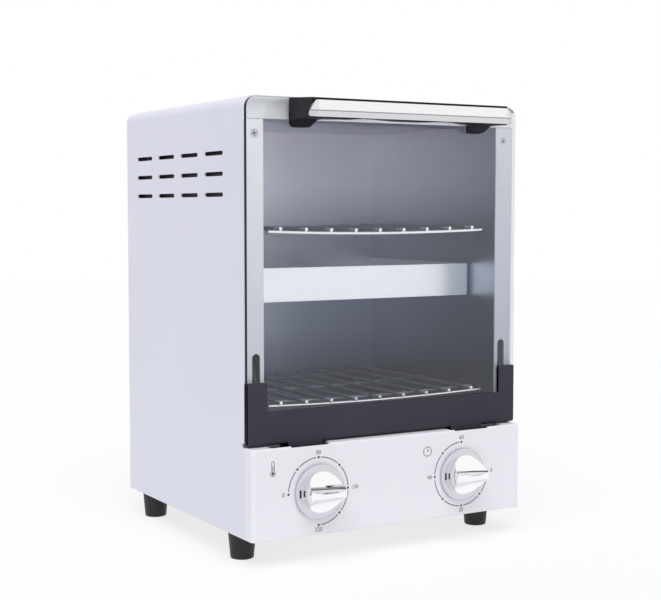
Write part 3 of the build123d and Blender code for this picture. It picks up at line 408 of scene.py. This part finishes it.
def rack_plating():
    """Plated wire: bright at the front, and darker farther in with painted shade."""
    s = Shader("rack_plating").set(metal=1.0)
    # Painted shade: the wire is painted darker from just behind its front into the chamber.
    painted_shade_depth = s.share(s.place("Y"), RACK_FRONT + 0.005, RACK_FRONT + 0.012)
    mottled_painted_shade = s.mottle(s.noise(60.0, detail=5.0), (0.40, 0.42, 0.47), (0.30, 0.32, 0.37))
    s.color(s.mix(painted_shade_depth, (0.97, 0.97, 0.985), mottled_painted_shade))
    s.rough(s.span(painted_shade_depth, 0.22, 0.5, 0.0, 1.0))
    s.bump(s.noise(500.0, detail=2.0), 0.02, 0.0001)
    return s.mat


def zinc():
    """Galvanised sheet with its crystal spangle."""
    s = Shader("zinc_sheet").set(metal=1.0)
    cells = s.add("ShaderNodeTexVoronoi", Vector=s.mapped((1, 1, 1)), Scale=140.0).outputs["Color"]
    value = s.add("ShaderNodeRGBToBW", Color=cells).outputs["Val"]
    s.color(s.mottle(value, (0.64, 0.65, 0.67), (0.52, 0.53, 0.56), 0.2, 0.8))
    s.vary_rough(value, 0.34, 0.5, 0.2, 0.8)
    s.bump(s.noise(200.0), 0.04, 0.0001, 0.0002)
    return s.mat


def heater_tube():
    """Alloy heater sheath, browned and blued by heat."""
    s = Shader("heater_sheath").set(metal=0.85)
    tint = s.noise(26.0, detail=4.0, distortion=0.8)
    s.color(s.ramp(tint, [(0.3, (0.20, 0.17, 0.15)), (0.5, (0.27, 0.25, 0.25)), (0.7, (0.20, 0.21, 0.27))]))
    s.vary_rough(s.noise(300.0), 0.45, 0.62)
    s.bump(s.noise(500.0, detail=4.0), 0.12, 0.0002)
    return s.mat


def wool():
    """White ceramic-fibre mat."""
    s = Shader("fibre_mat").set(rough=0.95, sheen=0.3)
    fibres = s.noise(240.0, detail=8.0, rough=0.75, stretch=(1, 1, 3), distortion=1.4)
    s.color(s.mottle(fibres, (0.84, 0.83, 0.78), (0.66, 0.64, 0.58), 0.35, 0.65))
    s.bump(fibres, 0.6, 0.0012)
    return s.mat


def rubber():
    """Black rubber with a dusty bloom."""
    s = Shader("foot_rubber").set(spec=0.4)
    bloom = s.noise(70.0, detail=6.0)
    s.color(s.mottle(bloom, (0.010, 0.010, 0.012), (0.024, 0.024, 0.027), 0.4, 0.75))
    s.vary_rough(bloom, 0.4, 0.6)
    s.bump(s.noise(800.0, detail=4.0), 0.2, 0.0002, 0.0004)
    return s.mat


def coloured_metal(name, color, dark, rough):
    """Drawn copper or brass with handling stains."""
    s = Shader(name).set(metal=1.0)
    stain = s.noise(80.0, detail=6.0, distortion=0.6)
    s.color(s.mottle(stain, color, dark, 0.4, 0.7))
    s.vary_rough(stain, rough, rough + 0.16)
    s.bump(s.noise(500.0), 0.05, 0.0001, 0.0002)
    return s.mat


def door_glass():
    """Clear toughened glass with a faint grey tint, and painted shade that makes its edge faces dark, seen both from in
    front and through the glass.
    """
    s = Shader("tinted_glass")
    s.tree.nodes.remove(s.bsdf)
    smear = s.mottle(s.noise(7.0, detail=3.0), (0.97, 0.975, 0.985), (0.955, 0.96, 0.97))
    clear = s.add("ShaderNodeBsdfTransparent", Color=smear)
    gloss = s.add("ShaderNodeBsdfGlossy", Roughness=0.02)
    fresnel = s.add("ShaderNodeFresnel", IOR=1.72)
    faces = mix_shader(s.tree, fresnel.outputs["Fac"], clear.outputs["BSDF"], gloss.outputs["BSDF"])
    # Painted shade: edge faces seen from in front are an opaque, nearly black surface.
    edge = s.add(
        "ShaderNodeBsdfPrincipled", Base_Color=(0.006, 0.007, 0.009, 1.0), Roughness=0.4, Specular_IOR_Level=0.1
    )
    broad, upper, beside = (s.math("GREATER_THAN", s.facing(letter), 0.5) for letter in "YZX")
    outer = mix_shader(s.tree, broad, edge.outputs["BSDF"], faces)
    # Painted shade: seen through the glass, the top edge lets through a third of the light and the side edges four
    # fifths.
    tint = s.mix(upper, s.mix(beside, (1.0, 1.0, 1.0), (0.80, 0.82, 0.86)), (0.30, 0.31, 0.33))
    inner = s.add("ShaderNodeBsdfTransparent", Color=tint)
    behind = s.tree.nodes.new("ShaderNodeNewGeometry").outputs["Backfacing"]
    s.link(mix_shader(s.tree, behind, outer, inner.outputs["BSDF"]), s.out.inputs["Surface"])
    return s.mat


M = {
    "shell_paint": painted("shell_enamel", shell_tone),
    "strip_paint": painted("strip_enamel", strip_painted_shade_tone, rough=0.3),
    "trim_paint": trim_enamel(),
    "arm_steel": sheet_metal("arm_steel", (0.055, 0.06, 0.065), (0.04, 0.044, 0.048), 0.5),
    "screw_steel": sheet_metal("screw_zinc", (0.68, 0.69, 0.72), (0.60, 0.61, 0.64), 0.34, scale=300.0),
    "spring_steel": sheet_metal("bright_steel", (0.55, 0.56, 0.58), (0.48, 0.49, 0.51), 0.28, scale=300.0),
    "liner_steel": chamber_sheet(),
    "rail_steel": rail_sheet(),
    "shield_steel": shield_sheet(),
    "bar_chrome": bar_plating(),
    "knob_chrome": knob_plating(),
    "rack_chrome": rack_plating(),
    "zinc_steel": zinc(),
    "heater_tube": heater_tube(),
    "insulation_wool": wool(),
    "foot_rubber": rubber(),
    "bulb_copper": coloured_metal("bulb_copper", (0.72, 0.42, 0.28), (0.50, 0.28, 0.18), 0.3),
    "bell_brass": coloured_metal("bell_brass", (0.72, 0.57, 0.28), (0.55, 0.42, 0.20), 0.22),
    "door_glass": door_glass(),
}
for slot, name, color, dark, options in (
    ("panel_white", "panel_moulding", (0.855, 0.857, 0.893), (0.84, 0.843, 0.882),
     dict(rough=0.42, depth=0.05, rounding=0.0006)),
    ("handle_plastic", "handle_moulding", (0.010, 0.010, 0.015), (0.008, 0.008, 0.012),
     dict(rough=0.36, spec=0.16, rounding=0.0008)),
    ("pointer_black", "pointer_moulding", (0.008, 0.008, 0.010), (0.006, 0.006, 0.008), {}),
    ("black_plastic", "control_moulding", (0.03, 0.03, 0.032), (0.022, 0.022, 0.024), dict(rough=0.55)),
    ("block_plastic", "terminal_moulding", (0.78, 0.76, 0.68), (0.74, 0.72, 0.63), {}),
    ("bush_ceramic", "steatite", (0.84, 0.81, 0.74), (0.78, 0.75, 0.67), dict(rough=0.6, grain=500.0)),
    # The crosses for the screws' recesses: their dark colour is painted shade.
    ("recess", "screw_recess", (0.16, 0.16, 0.18), (0.13, 0.13, 0.15), dict(rough=0.6, rounding=0.0)),
    ("ink", "dial_ink", (0.19, 0.19, 0.21), (0.22, 0.22, 0.24), dict(rough=0.6, depth=0.02, rounding=0.0)),
    ("ink_dark", "dial_ink_dark", (0.06, 0.06, 0.075), (0.07, 0.07, 0.085),
     dict(rough=0.6, depth=0.02, rounding=0.0)),
):
    M[slot] = moulded(name, color, dark, **options)

slots = {entry["node"]: entry["material_slot"] for entry in frame["record"]["subparts"]}
own = {"door_arm": "arm_steel", "upper_rail": "rail_steel", "lower_rail": "rail_steel"}
for name, obj in nodes.items():
    obj.data.materials.clear()
    obj.data.materials.append(M[own.get(name.rsplit("_", 1)[0], slots[name])])


# ---------------------------------------------------------------------------------------------
# Pieces
# ---------------------------------------------------------------------------------------------


def piece(name, bm, body, material):
    """A finished object from a bmesh, with its material, riding on a body."""
    mesh = bpy.data.meshes.new(name)
    bmesh.ops.remove_doubles(bm, verts=bm.verts, dist=1e-7)
    bmesh.ops.recalc_face_normals(bm, faces=bm.faces)
    bm.to_mesh(mesh)
    bm.free()
    obj = bpy.data.objects.new(name, mesh)
    bpy.context.scene.collection.objects.link(obj)
    mesh.materials.append(M[material])
    mesh.polygons.foreach_set("use_smooth", [True] * len(mesh.polygons))
    mesh.set_sharp_from_angle(angle=radians(SMOOTH_ANGLE))
    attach(obj, body)


def printed(name, bm, material="ink"):
    piece(name, bm, "casing", material)


def ring_part(bm, centre, radius, width, start, end, steps=24):
    """A thin printed arc. Angles in degrees, clockwise from twelve o'clock as seen from the front."""
    cx, cz = centre
    rows = []
    for i in range(steps + 1):
        a = radians(start + (end - start) * i / steps)
        rows.append(
            [
                bm.verts.new((cx + r * sin(a), y, cz + r * cos(a)))
                for r in (radius - width / 2, radius + width / 2)
                for y in (PANEL_Y - PRINT, PANEL_Y)
            ]
        )
    for a, b in zip(rows, rows[1:]):
        for i, j in ((0, 2), (2, 3), (3, 1), (1, 0)):
            bm.faces.new((a[i], b[i], b[j], a[j]))
    for row in (rows[0], rows[-1]):
        bm.faces.new((row[0], row[2], row[3], row[1]))


def patch(bm, outline):
    """A printed patch with a given outline."""
    front = [bm.verts.new((x, PANEL_Y - PRINT, z)) for x, z in outline]
    back = [bm.verts.new((x, PANEL_Y, z)) for x, z in outline]
    bm.faces.new(front)
    bm.faces.new(back)
    for i in range(len(outline)):
        j = (i + 1) % len(outline)
        bm.faces.new((front[i], front[j], back[j], back[i]))


def disc(bm, centre, radius, steps=24):
    """A printed dot."""
    turns = [2 * pi * i / steps for i in range(steps)]
    patch(bm, [(centre[0] + radius * cos(a), centre[1] + radius * sin(a)) for a in turns])


def stroke(bm, start, end):
    """A short printed line from one point of the panel to another."""
    (x0, z0), (x1, z1) = start, end
    length = ((x1 - x0) ** 2 + (z1 - z0) ** 2) ** 0.5
    dx, dz = (z1 - z0) / length * LINE / 2, -(x1 - x0) / length * LINE / 2
    patch(bm, ((x0 + dx, z0 + dz), (x1 + dx, z1 + dz), (x1 - dx, z1 - dz), (x0 - dx, z0 - dz)))


def number(bm, text, cx, cz):
    """Digits laid on the panel, centred at a point."""
    curve = bpy.data.curves.new("digits", "FONT")
    curve.body = text
    curve.size = DIGITS
    curve.align_x = "CENTER"
    curve.align_y = "CENTER"
    curve.extrude = PRINT / 2
    curve.offset = 0.00007
    holder = bpy.data.objects.new("digits", curve)
    bpy.context.scene.collection.objects.link(holder)
    bpy.context.view_layer.update()
    mesh = bpy.data.meshes.new_from_object(holder)
    mesh.transform(Matrix.Translation((cx, PANEL_Y - PRINT / 2, cz)) @ Matrix.Rotation(radians(90), 4, "X"))
    bm.from_mesh(mesh)
    bpy.data.objects.remove(holder)
    bpy.data.curves.remove(curve)
    bpy.data.meshes.remove(mesh)


def dial(name, cx, dots, arc, labels):
    """Printed ring of a dial: grey arcs between dark dots, and its numbers."""
    bm = bmesh.new()
    for place in range(*arc, DOT_STEP):
        start, end = (
            DOT_GAP if angle % 360 in dots else -OVERLAP for angle in (place, place + DOT_STEP)
        )
        ring_part(bm, (cx, DIAL_Z), RING, RING_WIDTH, place + start, place + DOT_STEP - end, steps=14)
    printed(name + "_arcs", bm)
    bm = bmesh.new()
    for a in dots:
        disc(bm, (cx + RING * sin(radians(a)), DIAL_Z + RING * cos(radians(a))), DOT)
    printed(name + "_dots", bm, "ink_dark")
    bm = bmesh.new()
    for text, dx, dz in labels:
        number(bm, text, cx + dx, DIAL_Z + dz)
    printed(name + "_numbers", bm)


dial(
    "temperature_dial",
    TEMPERATURE_X,
    (0, 45, 90, 135, 180, 270, 315),
    (-90, 180),
    (("0", -0.0312, 0.0), ("80", 0.0, 0.0305), ("150", 0.0330, 0.0), ("220", 0.0, -0.0303)),
)
dial(
    "timer_dial",
    TIMER_X,
    (0, 90, 135, 180, 225, 270, 315),
    (90, 360),
    (("0", 0.0312, 0.0), ("60", 0.0, 0.0305), ("40", -0.0320, 0.0), ("20", 0.0, -0.0303)),
)

# A thermometer beside one dial.
bulb_x, bulb_z = THERMOMETER
bm = bmesh.new()
ring_part(bm, THERMOMETER, 0.0021, LINE, 32.0, 328.0)
ring_part(bm, (bulb_x, STEM_TOP), STEM, LINE, -90.0, 90.0)
for side in (-STEM, STEM):
    stroke(bm, (bulb_x + side, bulb_z + 0.0018), (bulb_x + side, STEM_TOP))
printed("thermometer_sign", bm)
bm = bmesh.new()
disc(bm, THERMOMETER, 0.0012)
stroke(bm, THERMOMETER, (bulb_x, STEM_TOP - 0.0024))
printed("thermometer_column", bm, "ink_dark")

# A clock beside the other: its rim, its two hands and four ticks.
clock_x, clock_z = CLOCK
bm = bmesh.new()
ring_part(bm, CLOCK, CLOCK_RADIUS, LINE, 0.0, 360.0, steps=40)
stroke(bm, CLOCK, (clock_x, clock_z + 0.0027))
stroke(bm, CLOCK, (clock_x + 0.0018, clock_z + 0.0008))
for a in (0, 90, 180, 270):
    stroke(bm, *((clock_x + r * sin(radians(a)), clock_z + r * cos(radians(a))) for r in (TICK_START, CLOCK_RADIUS)))
printed("clock_sign", bm)


def islands(node):
    """Boxes of the separate lumps in a node's mesh, each as its two corners."""
    bm = bmesh.new()
    bm.from_mesh(nodes[node].data)
    bm.transform(nodes[node].matrix_world)
    bmesh.ops.remove_doubles(bm, verts=bm.verts, dist=1e-6)
    left, found = set(bm.verts), []
    while left:
        lump, edge = [], [left.pop()]
        while edge:
            vert = edge.pop()
            lump.append(vert.co.copy())
            for link in vert.link_edges:
                other = link.other_vert(vert)
                if other in left:
                    left.remove(other)
                    edge.append(other)
        found.append([[pick(co[i] for co in lump) for i in range(3)] for pick in (min, max)])
    bm.free()
    return found


def recesses(node, body, face, reach):
    """Dark crosses laid on the screw heads of a node for their cross recesses, their darkness painted shade. Face is -1
    for heads that look to the front.
    """
    bm = bmesh.new()
    half = reach * 0.2
    arm = ((reach, -half * 0.7), (reach, half * 0.7), (half, half))
    for low, high in islands(node):
        x, z = (low[0] + high[0]) / 2, (low[2] + high[2]) / 2
        y = low[1] if face < 0 else high[1]
        rings = []
        for size, lift in ((1.0, 0.0), (0.86, 0.00005)):
            ring = []
            for turn in range(4):
                c, s = cos(radians(90 * turn + 18)), sin(radians(90 * turn + 18))
                for u, w in arm:
                    ring.append(bm.verts.new((x + size * (u * c - w * s), y + face * lift, z + size * (u * s + w * c))))
            rings.append(ring)
        outer, inner = rings
        for i in range(len(outer)):
            j = (i + 1) % len(outer)
            bm.faces.new((outer[i], outer[j], inner[j], inner[i]))
        bm.faces.new(inner)
        bm.faces.new(outer)
    piece(node[:-1] + "_recesses", bm, body, "recess")


recesses("frame_screws", "casing", -1, 0.0024)
recesses("back_screws", "casing", 1, 0.0022)
recesses("handle_screws", "door", 1, 0.0028)

# ---------------------------------------------------------------------------------------------
# Camera, light and floor
# ---------------------------------------------------------------------------------------------

scene = bpy.context.scene
camera_data = bpy.data.cameras.new("camera")
camera_data.sensor_fit = "HORIZONTAL"
camera_data.sensor_width = 36.0
camera_data.lens = LENS
camera_data.clip_end = 30.0
camera = bpy.data.objects.new("camera", camera_data)
camera.location = CAMERA_PLACE
camera.rotation_euler = (radians(90 - CAMERA_TILT), 0.0, radians(-CAMERA_TURN))
scene.collection.objects.link(camera)
scene.camera = camera
scene.view_settings.view_transform = "Standard"

# One wide soft lamp from above and in front, to the left.
sun = bpy.data.lights.new("overhead", "SUN")
sun.energy = 1.75
sun.angle = radians(50.0)
lamp = bpy.data.objects.new("overhead", sun)
lamp.rotation_euler = Vector((-0.25, -0.42, 0.89)).to_track_quat("Z", "Y").to_euler()
lamp.visible_glossy = False
scene.collection.objects.link(lamp)

# The world lights the object softly, and is white where it is seen.
world = bpy.data.worlds.new("studio")
scene.world = world
world.use_nodes = True
tree = world.node_tree
light = tree.nodes["Background"]
light.inputs["Color"].default_value = (0.95, 0.96, 1.0, 1.0)
light.inputs["Strength"].default_value = 0.52
white = tree.nodes.new("ShaderNodeBackground")
white.inputs["Color"].default_value = (1.0, 1.0, 1.0, 1.0)
white.inputs["Strength"].default_value = 1.0
sky = mix_shader(tree, seeing_rays(tree), light.outputs["Background"], white.outputs["Background"])
tree.links.new(sky, tree.nodes["World Output"].inputs["Surface"])

# The floor keeps a share of its own light and shadow, and is white for the rest.
bm = bmesh.new()
bmesh.ops.create_circle(bm, cap_ends=True, segments=96, radius=4.0)
floor_mesh = bpy.data.meshes.new("floor")
bm.to_mesh(floor_mesh)
bm.free()
floor = bpy.data.objects.new("floor", floor_mesh)
scene.collection.objects.link(floor)
s = Shader("floor_paper").set(rough=0.75, spec=0.2)
s.color(s.mottle(s.noise(3.0, detail=5.0), (0.97, 0.97, 0.975), (0.955, 0.955, 0.96)))
white = s.add("ShaderNodeEmission", Strength=1.0)
share = s.math("MULTIPLY", seeing_rays(s.tree), 0.71)
paper = mix_shader(s.tree, share, s.bsdf.outputs["BSDF"], white.outputs["Emission"])
s.link(paper, s.out.inputs["Surface"])
floor_mesh.materials.append(s.mat)
